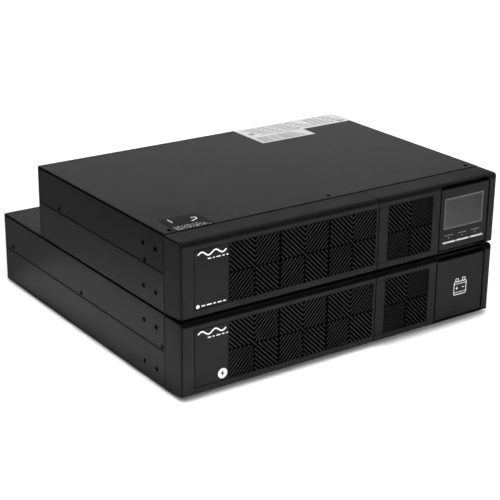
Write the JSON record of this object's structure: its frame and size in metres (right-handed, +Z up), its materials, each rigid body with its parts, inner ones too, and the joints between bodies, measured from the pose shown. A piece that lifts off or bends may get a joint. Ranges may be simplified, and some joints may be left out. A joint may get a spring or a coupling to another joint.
{
  "type": "rackmount ups",
  "caption": "Two stacked rack-width boxes with louvred snap-off bezels: a UPS with a square LCD module above, its matching battery pack with a blank module below.",
  "frame": {"origin": "centre of the footprint, on the surface that the battery pack stands on", "axes": "+X to the right seen from the front, +Y from the bezels to the rear panels, +Z up"},
  "size_m": [0.438, 0.415, 0.1759],
  "materials": {
    "chassis_paint": "fine-textured satin black powder coat",
    "zinc_steel": "zinc-plated sheet",
    "bezel_plastic": "fine spark-eroded black moulding",
    "louvre_plastic": "satin black moulding",
    "module_plastic": "smooth satin black moulding",
    "lens_acrylic": "smoked glossy window",
    "lcd_film": "grey liquid-crystal film",
    "circuit_board": "green solder mask",
    "key_white": "translucent white moulding",
    "key_grey": "light grey moulding",
    "battery_case": "dark grey ABS case",
    "heatsink_aluminium": "extruded aluminium",
    "capacitor_sleeve": "shrink sleeve",
    "copper_winding": "enamelled copper winding",
    "fan_plastic": "black glass-filled moulding",
    "socket_plastic": "black socket moulding",
    "connector_grey": "grey connector moulding",
    "print_white": "white screen print",
    "label_paper": "white label stock",
    "label_gloss": "glossy black label film"
  },
  "bodies": {
    "chassis_stack": {"pack_chassis_tray": "chassis_paint", "pack_top_cover": "chassis_paint", "pack_rear_panel": "chassis_paint", "pack_front_plate": "chassis_paint", "pack_battery_5": "battery_case", "pack_battery_6": "battery_case", "pack_battery_7": "battery_case", "pack_battery_8": "battery_case", "pack_battery_clamp": "zinc_steel", "dc_breaker_body": "socket_plastic", "pack_dc_socket_lower": "connector_grey", "pack_dc_socket_upper": "connector_grey", "fuse_board": "circuit_board", "ups_chassis_tray": "chassis_paint", "ups_top_cover": "chassis_paint", "ups_rear_panel": "chassis_paint", "ups_front_plate": "chassis_paint", "main_board": "circuit_board", "heatsink_left": "heatsink_aluminium", "heatsink_right": "heatsink_aluminium", "bulk_capacitor_front": "capacitor_sleeve", "bulk_capacitor_rear": "capacitor_sleeve", "output_choke": "copper_winding", "transformer": "copper_winding", "fan_frame": "fan_plastic", "outlet_block": "socket_plastic", "mains_inlet": "socket_plastic", "breaker_body": "socket_plastic", "ups_dc_socket": "connector_grey", "comm_board": "circuit_board", "terminal_block": "connector_grey", "slot_cover": "chassis_paint"},
    "ups_left_bezel": {"ups_bezel_left": "bezel_plastic", "ups_grille_left": "louvre_plastic"},
    "ups_right_bezel": {"ups_bezel_right": "bezel_plastic", "ups_grille_right": "louvre_plastic"},
    "ups_battery_drawer": {"ups_battery_tray": "chassis_paint", "ups_battery_1": "battery_case", "ups_battery_2": "battery_case"},
    "display_module": {"display_housing": "module_plastic", "display_lens": "lens_acrylic", "lcd_panel": "lcd_film", "display_board": "circuit_board"},
    "display_key_left": {"display_button_left": "key_white"},
    "display_key_centre": {"display_button_centre": "key_white"},
    "display_key_right": {"display_button_right": "key_white"},
    "cooling_rotor": {"fan_rotor": "fan_plastic"},
    "breaker_key": {"breaker_button": "key_grey"},
    "pack_left_bezel": {"pack_bezel_left": "bezel_plastic", "pack_grille_left": "louvre_plastic"},
    "pack_right_bezel": {"pack_bezel_right": "bezel_plastic", "pack_grille_right": "louvre_plastic"},
    "pack_battery_drawer": {"pack_battery_tray": "chassis_paint", "pack_battery_1": "battery_case", "pack_battery_2": "battery_case", "pack_battery_3": "battery_case", "pack_battery_4": "battery_case"},
    "blank_module": {"pack_blank_module": "module_plastic"},
    "dc_breaker_toggle": {"dc_breaker_lever": "key_grey"}
  },
  "joints": [
    {"name": "ups_battery_drawer_slide", "type": "slide", "parent": "chassis_stack", "child": "ups_battery_drawer", "axis": [0, -1, 0], "range_m": [0, 0.15]},
    {"name": "ups_left_bezel_pull", "type": "slide", "parent": "chassis_stack", "child": "ups_left_bezel", "axis": [0, -1, 0], "range_m": [0, 0.165]},
    {"name": "ups_right_bezel_pull", "type": "slide", "parent": "chassis_stack", "child": "ups_right_bezel", "axis": [0, -1, 0], "range_m": [0, 0.06]},
    {"name": "display_module_pull", "type": "slide", "parent": "chassis_stack", "child": "display_module", "axis": [0, -1, 0], "range_m": [0, 0.04]},
    {"name": "display_key_left_press", "type": "slide", "parent": "display_module", "child": "display_key_left", "axis": [0, 1, 0], "range_m": [0, 0.0008], "stiffness_N_per_m": 800},
    {"name": "display_key_centre_press", "type": "slide", "parent": "display_module", "child": "display_key_centre", "axis": [0, 1, 0], "range_m": [0, 0.0008], "stiffness_N_per_m": 800},
    {"name": "display_key_right_press", "type": "slide", "parent": "display_module", "child": "display_key_right", "axis": [0, 1, 0], "range_m": [0, 0.0008], "stiffness_N_per_m": 800},
    {"name": "fan_spin", "type": "hinge", "parent": "chassis_stack", "child": "cooling_rotor", "pos_m": [-0.165, 0.09, 0.1321], "axis": [0, 1, 0], "continuous": true},
    {"name": "breaker_reset_press", "type": "slide", "parent": "chassis_stack", "child": "breaker_key", "axis": [0, -1, 0], "range_m": [0, 0.003], "stiffness_N_per_m": 1500},
    {"name": "pack_battery_drawer_slide", "type": "slide", "parent": "chassis_stack", "child": "pack_battery_drawer", "axis": [0, -1, 0], "range_m": [0, 0.3]},
    {"name": "pack_left_bezel_pull", "type": "slide", "parent": "chassis_stack", "child": "pack_left_bezel", "axis": [0, -1, 0], "range_m": [0, 0.33]},
    {"name": "pack_right_bezel_pull", "type": "slide", "parent": "chassis_stack", "child": "pack_right_bezel", "axis": [0, -1, 0], "range_m": [0, 0.06]},
    {"name": "blank_module_pull", "type": "slide", "parent": "chassis_stack", "child": "blank_module", "axis": [0, -1, 0], "range_m": [0, 0.04]},
    {"name": "dc_breaker_throw", "type": "hinge", "parent": "chassis_stack", "child": "dc_breaker_toggle", "pos_m": [0.08, 0.1925, 0.044], "axis": [1, 0, 0], "range_deg": [-60, 0]}
  ],
  "couplings": [
    {"joint": "ups_left_bezel_pull", "follows": "ups_battery_drawer_slide", "ratio": 1.1},
    {"joint": "pack_left_bezel_pull", "follows": "pack_battery_drawer_slide", "ratio": 1.1}
  ]
}
